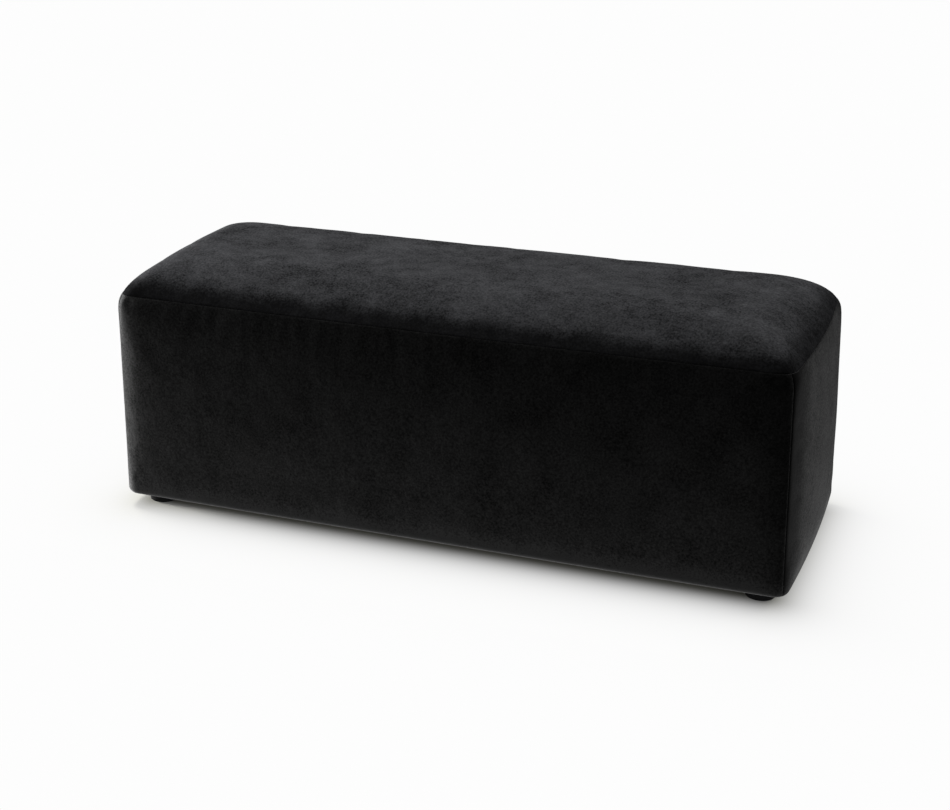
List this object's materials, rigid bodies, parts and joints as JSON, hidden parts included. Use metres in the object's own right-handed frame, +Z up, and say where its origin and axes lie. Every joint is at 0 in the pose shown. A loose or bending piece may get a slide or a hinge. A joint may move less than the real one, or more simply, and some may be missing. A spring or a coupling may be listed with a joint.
{
  "type": "upholstered bench",
  "caption": "Long velvet-covered bench: a padded timber box with a rounded, softly crowned seat, sewn corner seams and low round feet.",
  "frame": {"origin": "on the floor, under the middle of the bench", "axes": "+X along the bench's length to its right end, +Y across it to the back, +Z up; the front wall faces -Y"},
  "size_m": [1.2094, 0.4366, 0.45],
  "materials": {
    "velvet": "black cotton velvet, short dense nap brushed along the seat and down the walls",
    "wadding": "white polyester wadding",
    "foam": "cream open-cell upholstery foam",
    "felt": "dense black wool felt",
    "foot_plastic": "black moulded plastic, satin",
    "dust_cloth": "black spun-bonded non-woven cloth",
    "zinc": "zinc-plated steel",
    "pine": "planed pine",
    "plywood": "sanded plywood"
  },
  "bodies": {
    "root": {"back_base_rail": "pine", "back_board": "plywood", "back_foam_pad": "foam", "corner_post_back_left": "pine", "corner_post_back_right": "pine", "corner_post_front_left": "pine", "corner_post_front_right": "pine", "deck_screws": "zinc", "dust_cover": "dust_cloth", "dust_cover_staples": "zinc", "felt_pad_back_left": "felt", "felt_pad_back_right": "felt", "felt_pad_front_left": "felt", "felt_pad_front_right": "felt", "foot_back_left": "foot_plastic", "foot_back_right": "foot_plastic", "foot_front_left": "foot_plastic", "foot_front_right": "foot_plastic", "foot_screws": "zinc", "frame_screws": "zinc", "front_base_rail": "pine", "front_board": "plywood", "front_foam_pad": "foam", "left_end_base_rail": "pine", "left_end_board": "plywood", "left_end_foam_pad": "foam", "left_partition": "plywood", "right_end_base_rail": "pine", "right_end_board": "plywood", "right_end_foam_pad": "foam", "right_partition": "plywood", "seat_deck": "plywood", "seat_foam": "foam", "seat_wadding": "wadding", "velvet_back_panel": "velvet", "velvet_front_panel": "velvet", "velvet_left_end_panel": "velvet", "velvet_right_end_panel": "velvet", "velvet_top_panel": "velvet", "wall_wadding": "wadding"}
  },
  "joints": []
}
